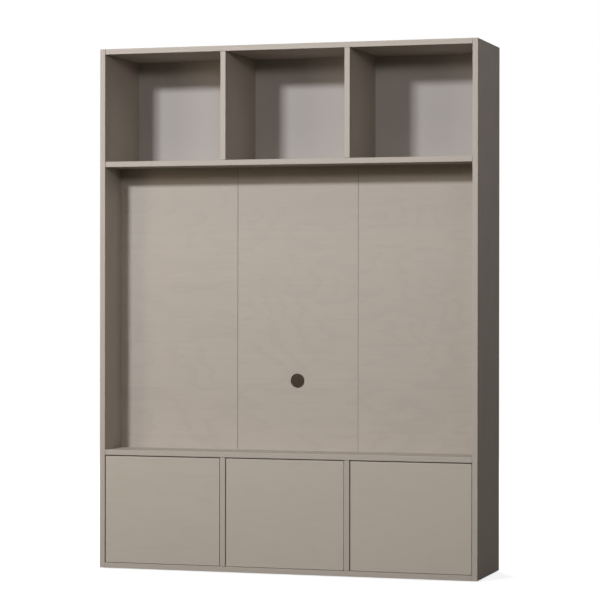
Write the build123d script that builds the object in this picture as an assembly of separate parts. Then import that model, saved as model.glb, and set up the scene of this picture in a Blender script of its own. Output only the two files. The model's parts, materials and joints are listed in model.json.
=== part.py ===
from build123d import *
import os

# Tall TV cabinet. Millimetres, +Z up. Origin on the floor at the centre of the footprint.
# The front faces -Y and +X is on the right seen from the front.
# Depths are counted from the front plane (0) to the rear (D); Y() turns them into the part's frame.

# ---- driving dimensions -------------------------------------------------
W = 1600.0            # overall width
H = 2150.0            # overall height, floor glides included
D = 400.0             # overall depth
T = 22.0              # board thickness of the carcass
EDGE_R = 1.0          # rounding of the long edges of boards and doors
GLIDE_H = 4.0         # floor glide height
GLIDE_R = 7.0
GLIDE_IN = 7.5        # centre of the outer glides, from the inner face of the sides: they stand back so far that none shows under the edges
GLIDE_D = (45.0, 366.0)       # depths of the two rows of glides

Z_BOTTOM = GLIDE_H            # underside of the bottom panel
Z_COUNTER = 471.0             # underside of the counter panel
Z_SHELF = 1662.0              # underside of the upper shelf
Z_TOP = H - T                 # underside of the top panel

REAR_RECESS = 2.0     # back panels lie this far inside the rear plane
BACK_T = 4.0          # back panel thickness
REBATE = 12.0         # width of the rear rebate in sides, top and bottom
Y_BACK = D - REAR_RECESS - BACK_T     # front face of the back panels, 394

NICHE_DEPTH = 184.0   # depth of the niche in front of its panels
NICHE_T = 16.0        # niche panel thickness
SEAM_GAP = 0.6        # hairline gap between two niche panels
SEAM_V = 1.0          # chamfer on both sides of that gap
RIB_DEPTH = 140.0     # upright ribs behind the niche panels
RAIL_T, RAIL_H = 18.0, 110.0            # cross rails behind the ribs
RAIL_Z = {"lower": 775.0, "upper": 1380.0}  # their mid heights
CABLE_HOLE_R = 30.0   # round cable hole in the middle niche panel
CABLE_HOLE_Z = 780.0

DOOR_T = 18.0         # door thickness
GAP_HINGE = 4.0       # gap on the hinge side (left)
GAP_FREE = 1.8        # gap on the opening side (right)
GAP_TOP = 4.0
GAP_BOTTOM = 1.8

COUNTER_NOTCH_W, COUNTER_NOTCH_D, COUNTER_NOTCH_R = 90.0, 44.0, 10.0
BACK_NOTCH_W, BACK_NOTCH_TOP, BACK_NOTCH_R = 100.0, 85.0, 15.0

# single-pivot cup hinge, in door-side coordinates: u from the panel face, y from the front, w along the height
PIVOT_FROM_EDGE = 14.0
PIVOT_Y = 9.5
CUP_R, CUP_DEPTH, CUP_FROM_EDGE = 17.5, 13.0, 22.5
PIN_R, EYE_BORE_R, EYE_R = 1.5, 1.55, 3.0
HINGE_FROM_END = 80.0
PLATE_Y = 57.0
PLATE_SCREW_W = 16.0
CUP_SCREW_W, CUP_SCREW_BACK = 24.0, 6.0

# push latch
LATCH_FROM_WALL = 11.0
CARTRIDGE_R, CARTRIDGE_Y0, CARTRIDGE_Y1 = 5.0, 22.0, 90.0
PLUNGER_R, PLUNGER_Y0, PLUNGER_LEN = 3.6, 19.5, 32.0
LATCH_STROKE = 14.0

# fasteners
DOWEL_R, DOWEL_L = 4.0, 35.0
CAM_R, CAM_H, CAM_FROM_END = 7.4, 14.6, 34.0
CAM_BOLT_IN = 11.0    # depth of its thread in the side panel

# ---- derived ------------------------------------------------------------
XI = W / 2 - T                              # inner face of the sides, 778
BAY = (2 * XI - 2 * T) / 3                  # clear width of a bay, 504
DIV_X = BAY / 2 + T / 2                     # divider centre, 263
SEAM_X = 2 * XI / 6                         # niche panel seams, 259.33
BAYS = {"left": -XI, "middle": -BAY / 2, "right": BAY / 2 + T}      # left wall of each bay
Z_FLOOR = Z_BOTTOM + T                      # top face of the bottom panel, 26
DOOR_Z0, DOOR_Z1 = Z_FLOOR + GAP_BOTTOM, Z_COUNTER - GAP_TOP
DOOR_W = BAY - GAP_HINGE - GAP_FREE
LATCH_Z = (Z_FLOOR + Z_COUNTER) / 2


def Y(depth):
    return depth - D / 2


def slab(x0, x1, d0, d1, z0, z1):
    """A box from its corners; d0 and d1 are depths from the front plane."""
    return Pos((x0 + x1) / 2, Y((d0 + d1) / 2), (z0 + z1) / 2) * Box(abs(x1 - x0), abs(d1 - d0), abs(z1 - z0))


def rod(x, d, z, axis, r, length):
    """A cylinder of radius r that starts at (x, depth d, z) and runs along axis."""
    return Plane(origin=(x, Y(d), z), z_dir=axis).location * Cylinder(r, length, align=(Align.CENTER, Align.CENTER, Align.MIN))


def along(x, d, z, axis, shape):
    """Places a shape that was made at the origin along +Z at (x, depth d, z) so that its +Z runs along axis."""
    return Plane(origin=(x, Y(d), z), z_dir=axis).location * shape


def eased(board, *rows):
    """Rounds the edges along an axis that lie at one end of another axis: each row is (edge direction, axis, end), with end 0 or -1."""
    edges = []
    for direction, axis, end in rows:
        for e in board.edges().filter_by(direction).group_by(axis)[end]:
            if e not in edges:
                edges.append(e)
    return fillet(edges, EDGE_R)


FRONT_UPRIGHT = (Axis.Z, Axis.Y, 0)
FRONT_LEVEL = (Axis.X, Axis.Y, 0)
FRONT_ALL = (FRONT_UPRIGHT, FRONT_LEVEL)    # a board's four front edges, so that a fine V shows where its end meets another board

boards = {}       # node -> solid
holes = {}        # node -> tools cut from it at the end
loose = {}        # node -> list of separate solids


def drill(node, tool):
    holes.setdefault(node, []).append(tool)


def add(node, *solids):
    loose.setdefault(node, []).extend(solids)


# ---- boards -------------------------------------------------------------
for side, s in (("left", -1), ("right", 1)):
    body = eased(slab(s * XI, s * W / 2, 0, D, Z_BOTTOM, H), FRONT_UPRIGHT, FRONT_LEVEL, (Axis.Y, Axis.Z, 0), (Axis.Y, Axis.Z, -1))
    boards["side_panel_" + side] = body - slab(s * (XI - 1), s * (XI + REBATE), Y_BACK, D + 1, Z_BOTTOM - 1, H + 1)

boards["top_panel"] = eased(slab(-XI, XI, 0, D, Z_TOP, H), *FRONT_ALL) - slab(-XI - 1, XI + 1, Y_BACK, D + 1, Z_TOP - 1, Z_TOP + 10)
boards["upper_shelf"] = eased(slab(-XI, XI, 0, Y_BACK, Z_SHELF, Z_SHELF + T), *FRONT_ALL)
boards["bottom_panel"] = eased(slab(-XI, XI, 0, D, Z_BOTTOM, Z_FLOOR), *FRONT_ALL) - slab(-XI - 1, XI + 1, Y_BACK, D + 1, Z_FLOOR - REBATE, Z_FLOOR + 1)

counter = eased(slab(-XI, XI, 0, Y_BACK, Z_COUNTER, Z_COUNTER + T), *FRONT_ALL)
for x in (-2 * XI / 3, 0.0, 2 * XI / 3):
    notch = slab(x - COUNTER_NOTCH_W / 2, x + COUNTER_NOTCH_W / 2, Y_BACK - COUNTER_NOTCH_D, Y_BACK + 20, Z_COUNTER - 1, Z_COUNTER + T + 1)
    notch = fillet(notch.edges().filter_by(Axis.Z).group_by(Axis.Y)[0], COUNTER_NOTCH_R)
    counter = counter - notch
boards["counter_panel"] = counter

for side, s in (("left", -1), ("right", 1)):
    boards["upper_divider_" + side] = eased(slab(s * (DIV_X - T / 2), s * (DIV_X + T / 2), 0, Y_BACK, Z_SHELF + T, Z_TOP), *FRONT_ALL)
    boards["lower_divider_" + side] = eased(slab(s * (DIV_X - T / 2), s * (DIV_X + T / 2), 0, Y_BACK, Z_FLOOR, Z_COUNTER), *FRONT_ALL)
    boards["niche_rib_" + side] = eased(slab(s * (SEAM_X - T / 2), s * (SEAM_X + T / 2), NICHE_DEPTH + NICHE_T, NICHE_DEPTH + NICHE_T + RIB_DEPTH, Z_COUNTER + T, Z_SHELF), (Axis.Z, Axis.Y, -1))

for level, z in RAIL_Z.items():
    d = NICHE_DEPTH + NICHE_T + RIB_DEPTH
    boards["rear_rail_" + level] = eased(slab(-XI, XI, d, d + RAIL_T, z - RAIL_H / 2, z + RAIL_H / 2), (Axis.X, Axis.Y, 0), (Axis.X, Axis.Y, -1))

g = SEAM_GAP / 2
for name, x0, x1 in (("left", -XI, -SEAM_X - g), ("middle", -SEAM_X + g, SEAM_X - g), ("right", SEAM_X + g, XI)):
    panel = slab(x0, x1, NICHE_DEPTH, NICHE_DEPTH + NICHE_T, Z_COUNTER + T, Z_SHELF)
    seam_edges = [e for e in panel.edges().filter_by(Axis.Z).group_by(Axis.Y)[0] if abs(e.center().X) < XI - 1]
    boards["niche_panel_" + name] = chamfer(seam_edges, SEAM_V)
drill("niche_panel_middle", rod(0, NICHE_DEPTH - 1, CABLE_HOLE_Z, (0, 1, 0), CABLE_HOLE_R, NICHE_T + 2))

boards["upper_back_panel"] = slab(-XI - REBATE, XI + REBATE, Y_BACK, Y_BACK + BACK_T, Z_SHELF + 10, Z_TOP + 10)
lower_back = slab(-XI - REBATE, XI + REBATE, Y_BACK, Y_BACK + BACK_T, Z_FLOOR - REBATE, Z_COUNTER + REBATE)
for x in (-BAY - T, 0.0, BAY + T):
    notch = slab(x - BACK_NOTCH_W / 2, x + BACK_NOTCH_W / 2, Y_BACK - 2, Y_BACK + BACK_T + 2, Z_BOTTOM, BACK_NOTCH_TOP)
    notch = fillet(notch.edges().filter_by(Axis.Y).group_by(Axis.Z)[-1], BACK_NOTCH_R)
    lower_back = lower_back - notch
boards["lower_back_panel"] = lower_back


# ---- fasteners ----------------------------------------------------------
def cross_recess(depth, size):
    arm = size * 0.32
    return (Box(size, arm, 2 * depth) + Box(arm, size, 2 * depth))


def pan_screw(head_r, head_h, shank_r, length):
    """Pan-head screw along +Z: the underside of the head at z 0, the shank above it."""
    head = Pos(0, 0, -head_h / 2) * Cylinder(head_r, head_h)
    head = fillet(head.edges().group_by(Axis.Z)[0], min(head_h, head_r) * 0.45)
    shank = Cylinder(shank_r, length - 1.5 * shank_r, align=(Align.CENTER, Align.CENTER, Align.MIN))
    tip = Pos(0, 0, length - 1.5 * shank_r) * Cone(shank_r, shank_r * 0.25, 1.5 * shank_r, align=(Align.CENTER, Align.CENTER, Align.MIN))
    return head + shank + tip - Pos(0, 0, -head_h) * cross_recess(head_h * 0.55, head_r * 1.1)


def flat_screw(head_r, shank_r, length):
    """Countersunk connecting screw along +Z: its head flush at z 0."""
    h = head_r - shank_r
    body = Cone(head_r, shank_r, h, align=(Align.CENTER, Align.CENTER, Align.MIN))
    body += Cylinder(shank_r, length - shank_r, align=(Align.CENTER, Align.CENTER, Align.MIN))
    body += Pos(0, 0, length - shank_r) * Cone(shank_r, shank_r * 0.3, shank_r, align=(Align.CENTER, Align.CENTER, Align.MIN))
    return body - RegularPolygonPrism(head_r * 0.42, 2.4)


def RegularPolygonPrism(r, depth):
    """A hexagon socket, from just under z 0 to the depth."""
    return Pos(0, 0, -0.5) * extrude(RegularPolygon(r, 6), depth + 0.5)


def cam_bolt():
    """A cam bolt turned in one piece, from the tip of its threaded end at z 0: thread, collar, pin, neck and round head."""
    collar, head = CAM_BOLT_IN, CAM_BOLT_IN + CAM_FROM_END - 3.0
    outline = Polyline((0, 0), (1.9, 0), (2.5, 0.9), (2.5, collar), (3.4, collar), (3.4, collar + 1.5), (2.5, collar + 1.5),
                       (2.5, head - 6.0), (1.9, head - 5.4), (1.9, head - 2.5), (3.3, head - 1.6), (3.3, head + 1.6), (2.2, head + 2.9), (0, head + 2.9), close=True)
    return revolve(Plane.XZ * make_face(outline), Axis.Z)


def flat_hole(head_r, shank_r, length, play=0.05):
    h = head_r - shank_r
    tool = Cone(head_r + play, shank_r + play, h, align=(Align.CENTER, Align.CENTER, Align.MIN))
    return tool + Cylinder(shank_r + play, length + 1, align=(Align.CENTER, Align.CENTER, Align.MIN))


BACK_SCREW = pan_screw(3.0, 1.6, 1.5, 17.0)
SMALL_SCREW = pan_screw(3.0, 1.6, 1.5, 12.5)
PLATE_SCREW = pan_screw(3.6, 2.0, 1.8, 16.0)
CUP_SCREW = pan_screw(3.2, 1.8, 1.5, 11.5)
STRIKE_SCREW = pan_screw(2.4, 1.0, 1.2, 9.0)
ADJUST_SCREW = pan_screw(3.0, 1.5, 1.9, 9.0)
CONNECTING_SCREW = flat_screw(5.0, 3.2, 60.0)
CAM_BOLT = cam_bolt()
DOWEL = chamfer(Cylinder(DOWEL_R, DOWEL_L).edges(), 0.8)


def screw(node, x, d, z, axis, kind, shank_r, length, into):
    """A pan-head screw and the holes that it runs in."""
    add(node, along(x, d, z, axis, kind))
    for board in into:
        drill(board, rod(x - axis[0] * 6, d - axis[1] * 6, z - axis[2] * 6, axis, shank_r + 0.05, length + 6.5))


def dowel(x, d, z, axis, first, second, deep_first):
    """A dowel centred so that deep_first of its length lies in the first board, which is behind the joint plane against axis."""
    shift = DOWEL_L / 2 - deep_first
    add("wood_dowels", along(x + axis[0] * shift, d + axis[1] * shift, z + axis[2] * shift, axis, DOWEL))
    drill(first, rod(x - axis[0] * (deep_first + 0.5), d - axis[1] * (deep_first + 0.5), z - axis[2] * (deep_first + 0.5), axis, DOWEL_R + 0.05, deep_first + 0.5))
    drill(second, rod(x, d, z, axis, DOWEL_R + 0.05, DOWEL_L - deep_first + 0.5))


def cam_joint(s, board, side, d, z_mid, face):
    """A cam bolt from the side panel into the end of a horizontal board, drawn tight by a cam lock let into the board's upper (face 1) or lower (face -1) side."""
    axis = (-s, 0, 0)
    x_side, x_cam = s * XI, s * (XI - CAM_FROM_END)
    add("cam_bolts", along(x_side + s * CAM_BOLT_IN, d, z_mid, axis, CAM_BOLT))
    drill(side, rod(x_side + s * 11.5, d, z_mid, axis, 2.55, 12))
    drill(board, rod(x_side, d, z_mid, axis, 4.0, CAM_FROM_END))
    z_face = z_mid + face * T / 2
    cam = rod(x_cam, d, z_face, (0, 0, -face), CAM_R, CAM_H)
    slot = slab(x_cam - s * 4.5, x_cam + s * (CAM_R + 1), d - 3.6, d + 3.6, z_mid - 3.6, z_mid + 3.6)
    recess = Pos(x_cam, Y(d), z_face) * cross_recess(2.0, 7.0)
    add("cam_locks", cam - slot - recess)
    drill(board, rod(x_cam, d, z_face, (0, 0, -face), CAM_R + 0.1, CAM_H + 0.4))


for s, side in ((-1, "side_panel_left"), (1, "side_panel_right")):
    for board, z0, face in (("top_panel", Z_TOP, 1), ("upper_shelf", Z_SHELF, 1), ("counter_panel", Z_COUNTER, -1), ("bottom_panel", Z_BOTTOM, -1)):
        for d in (60.0, 340.0):
            cam_joint(s, board, side, d, z0 + T / 2, face)
        for d in (100.0, 300.0):
            dowel(s * XI, d, z0 + T / 2, (-s, 0, 0), side, board, 11.0)

for s, side in ((-1, "left"), (1, "right")):
    x = s * DIV_X
    up, low, rib = "upper_divider_" + side, "lower_divider_" + side, "niche_rib_" + side
    for d in (60.0, 180.0):
        dowel(x, d, Z_SHELF + T, (0, 0, 1), "upper_shelf", up, 11.0)
        dowel(x, d, Z_COUNTER, (0, 0, -1), "counter_panel", low, 11.0)
    dowel(x, 200.0, Z_TOP, (0, 0, -1), "top_panel", up, 11.0)
    dowel(x, 200.0, Z_FLOOR, (0, 0, 1), "bottom_panel", low, 11.0)
    for d in (225.0, 315.0):
        dowel(s * SEAM_X, d, Z_COUNTER + T, (0, 0, 1), "counter_panel", rib, 10.0)
        dowel(s * SEAM_X, d, Z_SHELF, (0, 0, -1), "upper_shelf", rib, 10.0)
    tool = flat_hole(5.0, 3.2, 60.0)
    for d, z, axis, first, second in (
        (60.0, H, (0, 0, -1), "top_panel", up), (330.0, H, (0, 0, -1), "top_panel", up),
        (365.0, Z_SHELF, (0, 0, 1), "upper_shelf", up),
        (60.0, Z_BOTTOM, (0, 0, 1), "bottom_panel", low), (330.0, Z_BOTTOM, (0, 0, 1), "bottom_panel", low),
        (365.0, Z_COUNTER + T, (0, 0, -1), "counter_panel", low),
    ):
        add("connecting_screws", along(x, d, z, axis, CONNECTING_SCREW))
        for board in (first, second):
            drill(board, along(x, d, z, axis, tool))

# the cross rails: dowelled to the sides and screwed to the ribs' rear edges
for level, z in RAIL_Z.items():
    rail, d = "rear_rail_" + level, NICHE_DEPTH + NICHE_T + RIB_DEPTH + RAIL_T
    for w in (-32.0, 32.0):
        for s, side in ((-1, "left"), (1, "right")):
            dowel(s * XI, d - RAIL_T / 2, z + w, (-s, 0, 0), "side_panel_" + side, rail, 11.0)
            add("connecting_screws", along(s * SEAM_X, d, z + w, (0, -1, 0), CONNECTING_SCREW))
            for board in (rail, "niche_rib_" + side):
                drill(board, along(s * SEAM_X, d, z + w, (0, -1, 0), tool))

# back panel screws
rear = Y_BACK + BACK_T
for x in (-690.0, -430.0, -130.0, 130.0, 430.0, 690.0):
    for z, panel, board in (
        (Z_TOP + 5, "upper_back_panel", "top_panel"), (Z_SHELF + 16, "upper_back_panel", "upper_shelf"),
        (Z_COUNTER + 6, "lower_back_panel", "counter_panel"), (Z_FLOOR - 6, "lower_back_panel", "bottom_panel"),
    ):
        screw("back_panel_screws", x, rear, z, (0, -1, 0), BACK_SCREW, 1.5, 17.0, (panel, board))
for z, panel in ((1800.0, "upper_back_panel"), (2010.0, "upper_back_panel"), (170.0, "lower_back_panel"), (330.0, "lower_back_panel")):
    level = "upper" if panel.startswith("upper") else "lower"
    for s, side in ((-1, "left"), (1, "right")):
        screw("back_panel_screws", s * DIV_X, rear, z, (0, -1, 0), BACK_SCREW, 1.5, 17.0, (panel, level + "_divider_" + side))
        screw("back_panel_screws", s * (XI + 6), rear, z, (0, -1, 0), BACK_SCREW, 1.5, 17.0, (panel, "side_panel_" + side))


# niche panel brackets: small steel angles behind the niche panels
def niche_bracket(x, s, z, wall):
    """An angle in the corner between the niche panel's rear face and a wall at x; s points away from the wall."""
    d0 = NICHE_DEPTH + NICHE_T
    leg = 22.0
    a = slab(x, x + s * 1.5, d0, d0 + leg, z - 8, z + 8)
    b = slab(x, x + s * leg, d0, d0 + 1.5, z - 8, z + 8)
    angle = a + b
    angle = angle - rod(x - s, d0 + 14, z, (s, 0, 0), 1.6, 4) - rod(x + s * 14, d0 - 1, z, (0, 1, 0), 1.6, 4)
    add("niche_brackets", angle)
    add("niche_bracket_screws", along(x + s * 1.5, d0 + 14, z, (-s, 0, 0), SMALL_SCREW), along(x + s * 14, d0 + 1.5, z, (0, -1, 0), SMALL_SCREW))
    drill(wall, rod(x + s * 2, d0 + 14, z, (-s, 0, 0), 1.55, 14))
    panel = "niche_panel_left" if x + s * 10 < -SEAM_X else ("niche_panel_right" if x + s * 10 > SEAM_X else "niche_panel_middle")
    drill(panel, rod(x + s * 14, d0 + 2, z, (0, -1, 0), 1.55, 14))


for z in (560.0, 1078.0, 1596.0):
    niche_bracket(-XI, 1, z, "side_panel_left")
    niche_bracket(XI, -1, z, "side_panel_right")
    for s, side in ((-1, "left"), (1, "right")):
        niche_bracket(s * SEAM_X - T / 2, -1, z + 4, "niche_rib_" + side)
        niche_bracket(s * SEAM_X + T / 2, 1, z - 16, "niche_rib_" + side)

# wall brackets against tipping: angles under the top panel at the rear
BRACKET_X = (-312.0, 740.0)
for x in BRACKET_X:
    angle = slab(x - 9, x + 9, Y_BACK - 30, Y_BACK, Z_TOP - 2, Z_TOP) + slab(x - 9, x + 9, Y_BACK - 2, Y_BACK, Z_TOP - 30, Z_TOP)
    angle = angle - rod(x, Y_BACK - 20, Z_TOP - 3, (0, 0, 1), 1.6, 4) - rod(x, Y_BACK - 3, Z_TOP - 19, (0, 1, 0), 3.0, 4)
    add("wall_brackets", angle)
    add("wall_bracket_screws", along(x, Y_BACK - 20, Z_TOP - 2, (0, 0, 1), SMALL_SCREW))
    drill("top_panel", rod(x, Y_BACK - 20, Z_TOP - 1, (0, 0, 1), 1.55, 12.5))
    drill("upper_back_panel", rod(x, Y_BACK - 1, Z_TOP - 19, (0, 1, 0), 3.0, BACK_T + 2))

# floor glides
for x in (-(XI + GLIDE_IN), -DIV_X, DIV_X, XI + GLIDE_IN):
    for d in GLIDE_D:
        disc = rod(x, d, 0, (0, 0, 1), GLIDE_R, GLIDE_H)
        add("floor_glides", chamfer(disc.edges().group_by(Axis.Z)[0], 0.6))


# ---- hinges -------------------------------------------------------------
def prism(points, half):
    """A plate of 2*half height from its plan outline in (u, y)."""
    return Pos(0, 0, -half) * extrude(make_face(Polyline(*[(u, Y(y)) for u, y in points], close=True)), 2 * half)


def disc_y(u, y0, y1, w, r):
    return Plane(origin=(u, Y(y0), w), z_dir=(0, 1, 0)).location * Cylinder(r, y1 - y0, align=(Align.CENTER, Align.CENTER, Align.MIN))


def rod_z(u, y, half, r):
    return Pos(u, Y(y), 0) * Cylinder(r, 2 * half)


PU = GAP_HINGE + PIVOT_FROM_EDGE            # pivot, measured from the panel face
CU = GAP_HINGE + CUP_FROM_EDGE              # cup centre
CUP_Y0 = DOOR_T - CUP_DEPTH                 # bottom of the bored recess
FLOOR_Y = CUP_Y0 + 1.1                      # bottom of the cup inside
FLANGE_T = 1.4

# the cup: a round shell with two cheeks that carry the pin, a slot towards the door's edge for the arm, and a flange on the door's rear face
cup = disc_y(CU, CUP_Y0 + 0.1, DOOR_T, 0, CUP_R - 0.2)
flange = disc_y(CU, DOOR_T, DOOR_T + FLANGE_T, 0, 19.5)
ears = slab(CU - 3.5, CU + CUP_SCREW_BACK + 9, DOOR_T, DOOR_T + FLANGE_T, -31, 31)
ears = fillet(ears.edges().filter_by(Axis.Y), 5.5)
cup = cup + flange + ears
cavity = disc_y(CU, FLOOR_Y, DOOR_T + FLANGE_T + 1, 0, CUP_R - 1.5)
cheeks = slab(PU - 6, PU + 7, FLOOR_Y - 0.5, DOOR_T - 1.5, 7.2, 10.2) + slab(PU - 6, PU + 7, FLOOR_Y - 0.5, DOOR_T - 1.5, -10.2, -7.2)
cheeks = cheeks & disc_y(CU, CUP_Y0 + 0.1, DOOR_T, 0, CUP_R - 0.2)
cup = cup - cavity + cheeks
cup = cup - slab(GAP_HINGE - 8, PU + 4, FLOOR_Y, DOOR_T + FLANGE_T + 1, -7.2, 7.2)
cup = cup - rod_z(PU, PIVOT_Y, 12, PIN_R + 0.02)
for w in (-CUP_SCREW_W, CUP_SCREW_W):
    cup = cup - disc_y(CU + CUP_SCREW_BACK, DOOR_T - 1, DOOR_T + FLANGE_T + 1, w, 1.6)
hinge_pin = rod_z(PU, PIVOT_Y, 10.0, PIN_R)

# the arm: an eye around the pin, a finger that leaves the cup, and a channel that sits on the mounting plate
lean = Vector(0.258819, 0.965926, 0)
side_way = Vector(0.965926, -0.258819, 0)


def on_finger(r, off):
    return (PU + lean.X * r + side_way.X * off, PIVOT_Y + lean.Y * r + side_way.Y * off)


finger = prism([on_finger(0, -2), on_finger(0, 2), on_finger(21, 2), on_finger(21, -2)], 6.6) + rod_z(PU, PIVOT_Y, 6.6, EYE_R)
body = prism([(PU, 28.0), (PU + 7, 28.0), (PU + 8, 34), (PU + 3, 46), (PU + 3, 84), (9.0, 84), (9.0, 46), (13.0, 36)], 9.0)
channel = slab(6.0, PU + 1.2, 45.0, 85.0, -7.4, 7.4)
arm = finger + body - channel - rod_z(PU, PIVOT_Y, 12, EYE_BORE_R)
# the mounting plate: a base on the panel face and a rail under the arm
base = slab(0, 3, PLATE_Y - 10, PLATE_Y + 10, -24, 24)
base = fillet(base.edges().filter_by(Axis.X), 6.0)
rail = slab(2.5, PU + 0.8, 46.5, 82.0, -6.9, 6.9)
plate = base + rail
for w in (-PLATE_SCREW_W, PLATE_SCREW_W):
    plate = plate - (Plane(origin=(-1, Y(PLATE_Y), w), z_dir=(1, 0, 0)).location * Cylinder(1.95, 5, align=(Align.CENTER, Align.CENTER, Align.MIN)))
for y in (54.0, 73.0):
    hole = Plane(origin=(PU + 4, Y(y), 0), z_dir=(-1, 0, 0)).location * Cylinder(1.95, 12.0, align=(Align.CENTER, Align.CENTER, Align.MIN))
    arm = arm - hole
    plate = plate - hole

for name, x0 in BAYS.items():
    wall = {"left": "side_panel_left", "middle": "lower_divider_left", "right": "lower_divider_right"}[name]
    door = slab(x0 + GAP_HINGE, x0 + GAP_HINGE + DOOR_W, 0, DOOR_T, DOOR_Z0, DOOR_Z1)
    door = fillet(door.edges(), EDGE_R)
    for zh in (DOOR_Z0 + HINGE_FROM_END, DOOR_Z1 - HINGE_FROM_END):
        at = Pos(x0, 0, zh)
        door = door - at * disc_y(CU, CUP_Y0, DOOR_T + 1, 0, CUP_R)
        door = door - at * slab(GAP_HINGE - 1, CU, CUP_Y0, DOOR_T + 1, -7.8, 7.8)
        for w in (-CUP_SCREW_W, CUP_SCREW_W):
            door = door - at * disc_y(CU + CUP_SCREW_BACK, DOOR_T - 10.5, DOOR_T + 1, w, 1.55)
            add("hinge_cup_screws_" + name, along(x0 + CU + CUP_SCREW_BACK, DOOR_T + FLANGE_T, zh + w, (0, -1, 0), CUP_SCREW))
            add("hinge_plate_screws", along(x0 + 3, PLATE_Y, zh + w * PLATE_SCREW_W / CUP_SCREW_W, (-1, 0, 0), PLATE_SCREW))
            drill(wall, rod(x0 + 1, PLATE_Y, zh + w * PLATE_SCREW_W / CUP_SCREW_W, (-1, 0, 0), 1.85, 14.5))
        add("hinge_cups_" + name, at * cup)
        add("hinge_pins_" + name, at * hinge_pin)
        add("hinge_arms", at * arm)
        add("hinge_plates", at * plate)
        for y in (54.0, 73.0):
            add("hinge_adjusting_screws", along(x0 + PU + 3, y, zh, (-1, 0, 0), ADJUST_SCREW))

    # push latch on the right-hand wall of the bay
    x1 = x0 + BAY
    right_wall = {"left": "lower_divider_left", "middle": "lower_divider_right", "right": "side_panel_right"}[name]
    xa = x1 - LATCH_FROM_WALL
    cartridge = rod(xa, CARTRIDGE_Y0, LATCH_Z, (0, 1, 0), CARTRIDGE_R, CARTRIDGE_Y1 - CARTRIDGE_Y0)
    cartridge = chamfer(cartridge.edges().group_by(Axis.Y)[-1], 1.0)
    cartridge = cartridge - rod(xa, CARTRIDGE_Y0 - 1, LATCH_Z, (0, 1, 0), PLUNGER_R + 0.3, PLUNGER_Y0 + PLUNGER_LEN - CARTRIDGE_Y0 + 4)
    add("latch_cartridges", cartridge)
    foot = slab(x1 - 2.5, x1, 30, 78, LATCH_Z - 20, LATCH_Z + 20)
    foot = fillet(foot.edges().filter_by(Axis.X), 4.0)
    holder = foot + slab(x1 - LATCH_FROM_WALL, x1 - 2, 32, 76, LATCH_Z - 5, LATCH_Z + 5) + rod(xa, 30, LATCH_Z, (0, 1, 0), 7.2, 48)
    holder = holder - rod(xa, 29, LATCH_Z, (0, 1, 0), CARTRIDGE_R + 0.05, 50)
    for w in (-14.0, 14.0):
        holder = holder - rod(x1 - 3, 54, LATCH_Z + w, (1, 0, 0), 1.6, 4)
        add("latch_holder_screws", along(x1 - 2.5, 54, LATCH_Z + w, (1, 0, 0), SMALL_SCREW))
        drill(right_wall, rod(x1 - 1, 54, LATCH_Z + w, (1, 0, 0), 1.55, 12))
    add("latch_holders", holder)

    plunger = rod(xa, PLUNGER_Y0, LATCH_Z, (0, 1, 0), PLUNGER_R, PLUNGER_LEN)
    plunger = chamfer(plunger.edges().group_by(Axis.Y)[0], 0.5)
    plunger = plunger - rod(xa, PLUNGER_Y0 - 1, LATCH_Z, (0, 1, 0), 2.6, 3.5)
    add("latch_plunger_" + name, plunger)
    add("latch_magnet_" + name, rod(xa, PLUNGER_Y0, LATCH_Z, (0, 1, 0), 2.55, 2.4))

    strike = slab(xa - 7, xa + 7, DOOR_T, DOOR_T + 1.2, LATCH_Z - 14, LATCH_Z + 14)
    strike = fillet(strike.edges().filter_by(Axis.Y), 3.0)
    for w in (-10.0, 10.0):
        strike = strike - rod(xa, DOOR_T - 1, LATCH_Z + w, (0, 1, 0), 1.3, 4)
        add("strike_screws_" + name, along(xa, DOOR_T + 1.2, LATCH_Z + w, (0, -1, 0), STRIKE_SCREW))
        door = door - rod(xa, DOOR_T + 1, LATCH_Z + w, (0, -1, 0), 1.25, 9.5)
    add("strike_plate_" + name, strike)
    boards["door_" + name] = door


# ---- cut the holes and write the files ----------------------------------
os.makedirs("parts", exist_ok=True)
for node, tools in holes.items():
    boards[node] = boards[node] - tools
for node, shape in boards.items():
    export_step(shape, "parts/" + node + ".step")
for node, solids in loose.items():
    flat = [s for item in solids for s in item.solids()]
    shape = flat[0] if len(flat) == 1 else Compound(children=flat)
    export_step(shape, "parts/" + node + ".step")
print(len(boards) + len(loose), "nodes,", sum(len(v) for v in loose.values()) + len(boards), "solids")
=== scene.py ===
import json
import math

import bmesh
import bpy
from mathutils import Matrix, Vector


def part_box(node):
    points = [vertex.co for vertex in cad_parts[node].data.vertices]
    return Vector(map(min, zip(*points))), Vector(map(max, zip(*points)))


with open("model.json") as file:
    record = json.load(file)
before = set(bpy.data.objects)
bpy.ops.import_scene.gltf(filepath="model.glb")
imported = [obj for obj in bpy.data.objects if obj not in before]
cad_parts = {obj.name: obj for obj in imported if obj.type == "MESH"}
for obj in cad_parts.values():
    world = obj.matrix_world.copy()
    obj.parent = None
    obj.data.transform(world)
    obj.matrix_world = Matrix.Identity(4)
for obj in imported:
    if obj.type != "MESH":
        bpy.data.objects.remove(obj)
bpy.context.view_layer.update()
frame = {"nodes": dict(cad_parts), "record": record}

scene = bpy.context.scene
scene.view_settings.view_transform = "Standard"
scene.view_settings.look = "None"


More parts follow.
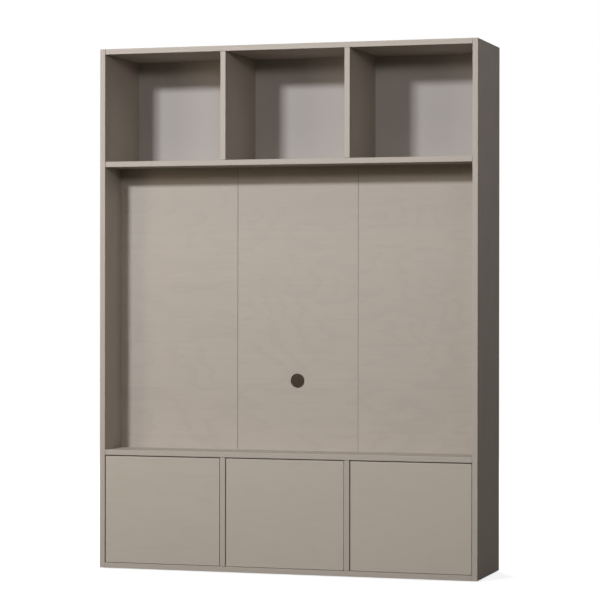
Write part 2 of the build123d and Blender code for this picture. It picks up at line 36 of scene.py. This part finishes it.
# ---- camera: a long lens to the right of the cabinet's middle, level, a little over a metre up ----
def make_camera():
    yaw, pitch, roll = (math.radians(a) for a in (17.037, 0.123, 0.064))
    ahead = Vector((-math.sin(yaw) * math.cos(pitch), math.cos(yaw) * math.cos(pitch), -math.sin(pitch)))
    right = Vector((math.cos(yaw), math.sin(yaw), 0.0))
    up = right.cross(ahead)
    r = math.cos(roll) * right + math.sin(roll) * up
    u = -math.sin(roll) * right + math.cos(roll) * up
    data = bpy.data.cameras.new("camera")
    data.sensor_width = 36.0
    data.lens = 142.44
    data.clip_start, data.clip_end = 0.1, 200.0
    cam = bpy.data.objects.new("camera", data)
    scene.collection.objects.link(cam)
    cam.matrix_world = Matrix(((r.x, u.x, -ahead.x, 2.874), (r.y, u.y, -ahead.y, -9.361), (r.z, u.z, -ahead.z, 1.134), (0, 0, 0, 1)))
    scene.camera = cam


make_camera()


# ---- small helpers for node trees ----------------------------------------
class Tree:
    """A material's node tree. A value given to a node's input is either a constant or another node's output."""

    def __init__(self, name):
        self.mat = bpy.data.materials.new(name)
        self.mat.use_nodes = True
        self.nt = self.mat.node_tree
        self.nt.nodes.clear()
        self.object = self.add("ShaderNodeTexCoord").outputs["Object"]

    def add(self, kind, *values, **props):
        node = self.nt.nodes.new(kind)
        for key, value in props.items():
            setattr(node, key, value)
        for i, value in enumerate(values):
            self.put(node.inputs[i], value)
        return node

    def put(self, socket, value):
        if value is None:
            return
        if isinstance(value, bpy.types.NodeSocket):
            self.nt.links.new(value, socket)
        else:
            socket.default_value = value

    def math(self, operation, a, b=None, c=None, clamp=False):
        return self.add("ShaderNodeMath", a, b, c, operation=operation, use_clamp=clamp).outputs[0]

    def vector(self, operation, a, b=None):
        return self.add("ShaderNodeVectorMath", a, b, operation=operation).outputs[0]

    def scaled(self, v, factor):
        node = self.add("ShaderNodeVectorMath", v, operation="SCALE")
        self.put(node.inputs["Scale"], factor)
        return node.outputs[0]

    def split(self, v):
        return self.add("ShaderNodeSeparateXYZ", v).outputs

    def join(self, x, y, z):
        return self.add("ShaderNodeCombineXYZ", x, y, z).outputs[0]

    def noise(self, v, scale, detail=2.0, rough=0.5, distortion=0.0):
        node = self.add("ShaderNodeTexNoise", noise_dimensions="3D")
        for key, value in (("Vector", v), ("Scale", scale), ("Detail", detail), ("Roughness", rough), ("Distortion", distortion)):
            self.put(node.inputs[key], value)
        return node.outputs[0]

    def random(self, w):
        node = self.add("ShaderNodeTexWhiteNoise", noise_dimensions="1D")
        self.put(node.inputs["W"], w)
        return node.outputs[0]

    def ramp(self, value, low, high, to_low=0.0, to_high=1.0, smooth=True):
        node = self.add("ShaderNodeMapRange", value, low, high, to_low, to_high, interpolation_type="SMOOTHSTEP" if smooth else "LINEAR", clamp=True)
        return node.outputs[0]

    def mix(self, factor, a, b):
        node = self.add("ShaderNodeMix", data_type="RGBA", blend_type="MIX")
        self.put(node.inputs[0], factor)
        self.put(node.inputs[6], a)
        self.put(node.inputs[7], b)
        return node.outputs[2]

    def swing(self, base, *terms):
        """base + the sum of amount * (value - 0.5)."""
        total = base
        for value, amount in terms:
            centred = self.math("SUBTRACT", value, 0.5)
            total = self.math("MULTIPLY_ADD", centred, amount, total)
        return total

    def bump(self, height):
        """A normal from a height in metres."""
        node = self.add("ShaderNodeBump")
        self.put(node.inputs["Strength"], 1.0)
        self.put(node.inputs["Distance"], 1.0)
        self.put(node.inputs["Height"], height)
        return node.outputs[0]

    def finish(self, colour, roughness, normal=None, **constants):
        shader = self.nt.nodes.new("ShaderNodeBsdfPrincipled")
        self.put(shader.inputs["Base Color"], colour)
        self.put(shader.inputs["Roughness"], roughness)
        if normal is not None:
            self.put(shader.inputs["Normal"], normal)
        for key, value in constants.items():
            shader.inputs[key.replace("_", " ")].default_value = value
        out = self.nt.nodes.new("ShaderNodeOutputMaterial")
        self.nt.links.new(shader.outputs[0], out.inputs["Surface"])
        return self.mat


def rgb(r, g, b):
    return (r, g, b, 1.0)


# ---- lacquered wood -------------------------------------------------------
# The lacquer is an opaque warm grey over brushed softwood: the soft early wood is brushed out a little, so the growth rings
# and fibres stand as a fine relief along the grain. Each board is glued up from staves about 90 mm wide.
def lacquered(node, grain, seed, tint, contrast=1.0, relief=1.0, rim=0.0034, wear_and_highlight_mix=0.30, joint=None, gap_shade=None):
    lo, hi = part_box(node)
    t = Tree("lacquer_" + node)
    x, y, z = t.split(t.object)
    along, across, deep = {"X": (x, z, y), "Z": (z, x, y), "Y": (y, x, z)}[grain]
    if grain == "Z" and hi.x - lo.x < hi.y - lo.y:
        across, deep = y, x
    if grain == "X" and hi.z - lo.z < hi.y - lo.y:
        across, deep = y, z
    across = t.math("ADD", across, 0.37 * seed + 5.0)
    deep = t.math("ADD", deep, 0.11 * seed)
    along = t.math("ADD", along, 1.7 * seed)
    cell = t.math("DIVIDE", across, 0.093)
    stave = t.math("FLOOR", cell)
    one = t.random(t.math("ADD", stave, seed))
    two = t.random(t.math("ADD", stave, seed + 57.3))
    # growth rings: distance from a pith line under each stave, which drifts along the board
    lengthwise = t.join(t.math("MULTIPLY", along, 0.9), t.math("MULTIPLY", stave, 7.31), float(seed))
    drift = t.noise(lengthwise, 1.0, 2.0, 0.5)
    middle = t.swing(t.math("MULTIPLY", t.math("SUBTRACT", t.math("SUBTRACT", cell, stave), 0.5), 0.093), (one, 0.07))
    under = t.swing(t.math("MULTIPLY_ADD", two, 0.05, 0.045), (drift, 0.09))
    under = t.math("ADD", under, deep)
    wander = t.noise(t.join(t.math("MULTIPLY", along, 2.2), t.math("MULTIPLY", across, 9.0), t.math("MULTIPLY", deep, 9.0)), 1.0, 3.0, 0.55)
    radius = t.math("SQRT", t.math("ADD", t.math("MULTIPLY", middle, middle), t.math("MULTIPLY", under, under)))
    radius = t.swing(radius, (wander, 0.016))
    ring = t.math("FRACT", t.math("DIVIDE", radius, 0.0046))
    late = t.math("MULTIPLY", t.ramp(ring, 0.35, 0.9), t.ramp(ring, 1.0, 0.93))
    fibre = t.noise(t.join(t.math("MULTIPLY", along, 9.0), t.math("MULTIPLY", across, 430.0), t.math("MULTIPLY", deep, 430.0)), 1.0, 2.0, 0.6)
    streak = t.noise(t.join(t.math("MULTIPLY", along, 1.3), t.math("MULTIPLY", across, 62.0), t.math("MULTIPLY", deep, 62.0)), 1.0, 3.0, 0.6)
    cloud = t.noise(t.object, 2.6 + 0.1 * (seed % 5), 3.0, 0.5)
    orange = t.noise(t.object, 900.0, 1.0, 0.5)
    # distance to the nearest outer edge of the board: the middle one of the three distances to its faces
    near = t.vector("MINIMUM", t.vector("SUBTRACT", t.object, tuple(lo)), t.vector("SUBTRACT", tuple(hi), t.object))
    a, b, c = t.split(near)
    edge = t.math("MAXIMUM", t.math("MINIMUM", a, b), t.math("MINIMUM", t.math("MAXIMUM", a, b), c))
    ragged = t.noise(t.object, 38.0, 3.0, 0.6)
    # lighter worn edges; on the doors, with a wider rim and a stronger mix, also a painted highlight along the eased
    # edges
    wear_and_highlight = t.math("MULTIPLY", t.ramp(t.math("MULTIPLY_ADD", ragged, 0.0022, edge), 0.0012, rim, 1.0, 0.0), t.ramp(ragged, 0.35, 0.7, 0.35, 1.0))
    if joint is not None:
        low, high, here = (lo.x, hi.x, x) if grain == "X" else (lo.z, hi.z, z)
        end = t.math("MINIMUM", t.math("SUBTRACT", here, low + joint[0]), t.math("SUBTRACT", high - joint[1], here))
        wear_and_highlight = t.math("MULTIPLY", wear_and_highlight, t.ramp(end, 0.002, 0.006))
    k = contrast
    value = t.swing(1.0, (fibre, 0.050 * k), (streak, 0.060 * k), (late, -0.030 * k), (one, 0.012 * k), (cloud, 0.035))
    colour = t.scaled(t.join(*tint), value)
    warm = t.mix(t.math("MULTIPLY", t.math("SUBTRACT", 1.0, fibre), 0.10 * k), colour, rgb(tint[0] * 0.90, tint[1] * 0.86, tint[2] * 0.80))
    colour = t.mix(t.math("MULTIPLY", wear_and_highlight, wear_and_highlight_mix), warm, rgb(min(1, tint[0] * 1.28), min(1, tint[1] * 1.30), min(1, tint[2] * 1.32)))
    if joint is not None:
        # painted shade: a nearly black line where the end of the board meets its neighbour, standing for the shade in
        # the joint
        joint_shade = t.ramp(t.math("MULTIPLY_ADD", ragged, 0.0005, end), 0.0011, 0.0016, 1.0, 0.0)
        colour = t.mix(t.math("MULTIPLY", joint_shade, 0.85), colour, rgb(0.035, 0.027, 0.020))
    if gap_shade is not None:
        # painted shade: a thin dark line on the eased front corner of a door, along its left, right and upper edges,
        # that deepens the shade of the gaps round it
        left, right, upper = gap_shade
        side = t.math("MINIMUM", t.math("SUBTRACT", x, lo.x + left), t.math("SUBTRACT", hi.x - right, x))
        side = t.math("MINIMUM", side, t.math("SUBTRACT", hi.z - upper, z))
        gap_shade_line = t.math("MULTIPLY", t.ramp(t.math("MULTIPLY_ADD", ragged, 0.0003, side), 0.0, 0.0006, 1.0, 0.0),
                      t.ramp(t.math("SUBTRACT", y, lo.y), 0.0010, 0.0016, 1.0, 0.0))
        colour = t.mix(t.math("MULTIPLY", gap_shade_line, 0.85), colour, rgb(0.035, 0.025, 0.016))
    rough = t.swing(0.50, (fibre, 0.10), (cloud, 0.07), (late, -0.06 * k), (wear_and_highlight, -0.10))
    if hi.z > 2.149:
        # dust settles on the top of the cabinet and takes its sheen away
        settled = t.math("MULTIPLY", t.ramp(z, hi.z - 0.0005, hi.z - 0.0001), t.ramp(t.noise(t.object, 7.0, 4.0, 0.6), 0.25, 0.6, 0.75, 1.0))
        colour = t.mix(t.math("MULTIPLY", settled, 0.30), colour, rgb(0.40, 0.375, 0.345))
        rough = t.math("MULTIPLY_ADD", settled, 0.46, rough)
    height = t.math("MULTIPLY", fibre, 0.000040 * relief)
    height = t.math("MULTIPLY_ADD", late, 0.000045 * relief, height)
    height = t.math("MULTIPLY_ADD", streak, 0.000050 * relief, height)
    height = t.math("MULTIPLY_ADD", orange, 0.000004, height)
    return t.finish(colour, rough, t.bump(height), Specular_IOR_Level=0.4)


# ---- thin lacquered back boards: rolled lacquer on a smooth board ------------
def rolled(node, seed, tint):
    lo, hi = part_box(node)
    t = Tree("rolled_lacquer_" + node)
    x, y, z = t.split(t.object)
    stipple = t.noise(t.object, 420.0, 2.0, 0.6)
    strokes = t.noise(t.join(t.math("MULTIPLY", x, 26.0), y, t.math("MULTIPLY", z, 1.1)), 1.0, 3.0, 0.55)
    cloud = t.noise(t.object, 2.2 + 0.3 * seed, 3.0, 0.5)
    near = t.vector("MINIMUM", t.vector("SUBTRACT", t.object, tuple(lo)), t.vector("SUBTRACT", tuple(hi), t.object))
    a, b, c = t.split(near)
    edge = t.math("MAXIMUM", t.math("MINIMUM", a, b), t.math("MINIMUM", t.math("MAXIMUM", a, b), c))
    bare = t.ramp(t.math("MULTIPLY_ADD", stipple, 0.0012, edge), 0.0006, 0.0022, 1.0, 0.0)
    value = t.swing(1.0, (stipple, 0.030), (strokes, 0.030), (cloud, 0.035))
    colour = t.scaled(t.join(*tint), value)
    colour = t.mix(t.math("MULTIPLY", bare, 0.35), colour, rgb(0.36, 0.27, 0.19))
    rough = t.swing(0.55, (stipple, 0.10), (cloud, 0.06))
    height = t.math("MULTIPLY_ADD", strokes, 0.00004, t.math("MULTIPLY", stipple, 0.000018))
    return t.finish(colour, rough, t.bump(height), Specular_IOR_Level=0.35)


# ---- metals and plastics -------------------------------------------------------
def metal(name, tint, rough, grain, wear=0.5, cast=False):
    t = Tree(name)
    x, y, z = t.split(t.object)
    hair = t.noise(t.join(t.math("MULTIPLY", x, 260.0), t.math("MULTIPLY", y, 2600.0), t.math("MULTIPLY", z, 2600.0)), 1.0, 2.0, 0.6)
    speck = t.noise(t.object, grain, 3.0, 0.65)
    patch = t.noise(t.object, 55.0, 3.0, 0.5)
    value = t.swing(1.0, (speck, 0.16), (patch, 0.12), (hair, 0.05))
    colour = t.scaled(t.join(*tint), value)
    dull = t.ramp(patch, 0.52, 0.75)
    colour = t.mix(t.math("MULTIPLY", dull, 0.35 * wear), colour, rgb(tint[0] * 0.62, tint[1] * 0.60, tint[2] * 0.57))
    r = t.swing(rough, (hair, 0.12), (speck, 0.14 if cast else 0.06), (dull, 0.16 * wear))
    height = t.math("MULTIPLY_ADD", speck, 0.00002 if cast else 0.000004, t.math("MULTIPLY", hair, 0.000003))
    return t.finish(colour, r, t.bump(height), Metallic=1.0)


def plastic(name, tint, rough, stipple_size=1500.0, depth=0.000006):
    t = Tree(name)
    stipple = t.noise(t.object, stipple_size, 2.0, 0.6)
    cloud = t.noise(t.object, 60.0, 3.0, 0.5)
    flow = t.noise(t.object, 14.0, 2.0, 0.5, 1.5)
    value = t.swing(1.0, (stipple, 0.10), (cloud, 0.10), (flow, 0.08))
    colour = t.scaled(t.join(*tint), value)
    r = t.swing(rough, (stipple, 0.12), (cloud, 0.08))
    return t.finish(colour, r, t.bump(t.math("MULTIPLY", stipple, depth)), Specular_IOR_Level=0.5)


def beech():
    t = Tree("bare_beech")
    x, y, z = t.split(t.object)
    fibre = t.noise(t.object, 900.0, 3.0, 0.6)
    fleck = t.noise(t.join(t.math("MULTIPLY", x, 240.0), t.math("MULTIPLY", y, 700.0), t.math("MULTIPLY", z, 240.0)), 1.0, 2.0, 0.5)
    tone = t.noise(t.object, 30.0, 2.0, 0.5)
    colour = t.mix(t.ramp(fleck, 0.35, 0.7), rgb(0.62, 0.42, 0.24), rgb(0.44, 0.26, 0.13))
    colour = t.scaled(colour, t.swing(1.0, (fibre, 0.25), (tone, 0.25)))
    return t.finish(colour, t.swing(0.62, (fibre, 0.15)), t.bump(t.math("MULTIPLY", fibre, 0.00003)), Specular_IOR_Level=0.3)


GREIGE = (0.364, 0.324, 0.280)
# the doors carry the boards' lacquer; DOOR is that colour made about 5 percent lighter, a painted lift of the light on
# the doors
DOOR = (0.387, 0.345, 0.292)
BACK = (0.358, 0.324, 0.298)

ZINC = metal("zinc_plated_steel", (0.60, 0.60, 0.575), 0.34, 900.0)
CAST = metal("die_cast_zinc", (0.50, 0.50, 0.49), 0.46, 500.0, 0.8, True)
NICKEL = metal("nickel_plated_steel", (0.68, 0.655, 0.61), 0.24, 1100.0, 0.35)
GROUND = metal("ground_pin_steel", (0.58, 0.58, 0.575), 0.18, 1300.0, 0.2)
GREY = plastic("grey_moulded_plastic", (0.17, 0.168, 0.162), 0.46)
PALE = plastic("pale_moulded_plastic", (0.52, 0.515, 0.49), 0.40)
DARK = plastic("dark_glide_plastic", (0.035, 0.034, 0.032), 0.50)
FERRITE = plastic("sintered_magnet", (0.055, 0.055, 0.058), 0.42, 2400.0, 0.000012)
BEECH = beech()

by_slot = {"zinc_steel": ZINC, "zinc_cast": CAST, "nickel_steel": NICKEL, "pin_steel": GROUND, "grey_plastic": GREY,
           "plunger_plastic": PALE, "glide_plastic": DARK, "magnet": FERRITE, "bare_beech": BEECH}
upright = ("side_panel", "upper_divider", "lower_divider", "niche_rib")
# boards with visible end joints, and how much further than usual the painted shade line reaches at the left or lower
# end and at the right or upper end, in metres; from about -0.0016 there is none
jointed = {"top_panel": (0.0014, -0.0002), "upper_shelf": (0.0017, 0.0004), "counter_panel": (0.0005, -0.0003), "bottom_panel": (0.0, -0.0004),
           "upper_divider_left": (0.0002, 0.0), "upper_divider_right": (0.0002, 0.0),
           "lower_divider_left": (0.0, 0.0), "lower_divider_right": (0.0, 0.0),
           "niche_panel_left": (-0.003, -0.0008), "niche_panel_middle": (-0.0008, -0.003)}

# how far in from each door's left, right and upper faces its painted shade line is set, in metres
gap_shade_insets = {"door_left": (0.0006, 0.0007, 0.0001), "door_middle": (0.0008, -0.0003, 0.0), "door_right": (0.0010, -0.0008, 0.0)}

slot_of = {part["node"]: part["material_slot"] for part in frame["record"]["subparts"]}
for seed, (name, obj) in enumerate(sorted(frame["nodes"].items())):
    slot = slot_of[name]
    if slot == "lacquered_boards":
        mat = lacquered(name, "Z" if name.startswith(upright) else "X", seed, GREIGE,
                        contrast=1.4 if name.startswith("niche_panel") else 1.0, joint=jointed.get(name))
    elif slot == "lacquered_doors":
        # the doors' wide, strong light edge is a painted highlight as well as wear
        mat = lacquered(name, "X", seed, DOOR, contrast=0.55, relief=0.5, rim=0.0062, wear_and_highlight_mix=0.55, gap_shade=gap_shade_insets[name])
    elif slot == "lacquered_backs":
        mat = rolled(name, seed, BACK)
    else:
        mat = by_slot[slot]
    for s in obj.material_slots:
        s.material = mat


# ---- floor and surroundings ----------------------------------------------------
# name: place, point it faces, width, height, watts, tint
LAMPS = {
    "key": ((-1.75, -4.95, 3.53), (0.0, 0.0, -1.5), 0.60, 0.45, 267.0, (0.958, 0.990, 1.052)),
    "left": ((-2.89, -3.65, 2.0), (0.0, 0.0, 1.1), 1.2, 1.2, 24.0, (1.229, 1.0, 0.771)),
    "front": ((1.165, -4.547, 2.7), (0.0, 0.0, 1.1), 1.2, 0.5, 40.7, (1.038, 0.999, 0.963)),
    "right": ((3.182, -3.382, 2.7), (0.0, 0.0, 1.1), 1.2, 0.5, 15.5, (1.05, 0.98, 0.97)),
    "far_right": ((4.229, -1.739, 2.7), (0.0, 0.0, 1.1), 1.2, 0.5, 10.6, (1.0, 1.0, 1.0)),
    "side": ((4.229, 1.339, 3.0), (0.0, 0.0, 1.1), 1.2, 0.5, 30.0, (0.99, 0.98, 1.05)),
    "top": ((0.0, -2.6, 4.8), (0.0, 0.0, 0.6), 2.4, 1.6, 20.0, (1.10, 1.0, 0.88)),
    "rear": ((-1.6, 4.2, 4.2), (0.0, 0.0, 1.1), 2.0, 2.0, 240.0, (1.0, 1.0, 1.0)),
}
AMBIENT = 0.0005


def make_floor():
    mesh = bpy.data.meshes.new("floor")
    bm = bmesh.new()
    bmesh.ops.create_circle(bm, cap_ends=True, radius=60.0, segments=96)
    bm.to_mesh(mesh)
    bm.free()
    floor = bpy.data.objects.new("floor", mesh)
    floor.location = (0.0, 0.0, -0.0003)
    scene.collection.objects.link(floor)
    t = Tree("pale_floor")
    x, y, z = t.split(t.object)
    distance = t.math("SQRT", t.math("ADD", t.math("MULTIPLY", x, x), t.math("MULTIPLY", y, y)))
    mottle = t.noise(t.object, 1.4, 3.0, 0.5)
    # pale to the eye, but with only a little warm light thrown back up at the cabinet
    seen = t.add("ShaderNodeLightPath").outputs["Is Camera Ray"]
    tone = t.mix(seen, rgb(0.130, 0.118, 0.097), rgb(0.38, 0.38, 0.38))
    diffuse = t.add("ShaderNodeBsdfDiffuse", t.scaled(tone, t.swing(1.0, (mottle, 0.05))), 0.0)
    # it brightens into the white surroundings a few metres out, so no horizon shows
    lift = t.ramp(distance, 0.9, 5.5, 0.80, 1.0)
    glow = t.add("ShaderNodeEmission", rgb(1, 1, 1), t.math("MULTIPLY", lift, seen))
    both = t.add("ShaderNodeAddShader", diffuse.outputs[0], glow.outputs[0])
    out = t.nt.nodes.new("ShaderNodeOutputMaterial")
    t.nt.links.new(both.outputs[0], out.inputs["Surface"])
    mesh.materials.append(t.mat)


def make_world():
    world = bpy.data.worlds.new("studio")
    scene.world = world
    world.use_nodes = True
    nt = world.node_tree
    nt.nodes.clear()
    path = nt.nodes.new("ShaderNodeLightPath")
    white = nt.nodes.new("ShaderNodeBackground")
    white.inputs[0].default_value = (1, 1, 1, 1)
    white.inputs[1].default_value = 1.0
    soft = nt.nodes.new("ShaderNodeBackground")
    soft.inputs[0].default_value = (1, 1, 1, 1)
    soft.inputs[1].default_value = AMBIENT
    mix = nt.nodes.new("ShaderNodeMixShader")
    out = nt.nodes.new("ShaderNodeOutputWorld")
    nt.links.new(path.outputs["Is Camera Ray"], mix.inputs[0])
    nt.links.new(soft.outputs[0], mix.inputs[1])
    nt.links.new(white.outputs[0], mix.inputs[2])
    nt.links.new(mix.outputs[0], out.inputs[0])


def lamp(name, place, target, wide, high, watts, tint):
    data = bpy.data.lights.new(name, "AREA")
    data.shape = "RECTANGLE"
    data.size, data.size_y = wide, high
    data.energy = watts
    data.color = tint
    obj = bpy.data.objects.new(name, data)
    scene.collection.objects.link(obj)
    obj.location = place
    obj.rotation_mode = "QUATERNION"
    obj.rotation_quaternion = (Vector(target) - Vector(place)).to_track_quat("-Z", "Y")
    obj.visible_camera = False
    obj.visible_glossy = name != "rear"  # it only lifts the back, with no glare off the top seen from in front


make_floor()
make_world()
for name, values in LAMPS.items():
    lamp(name, *values)
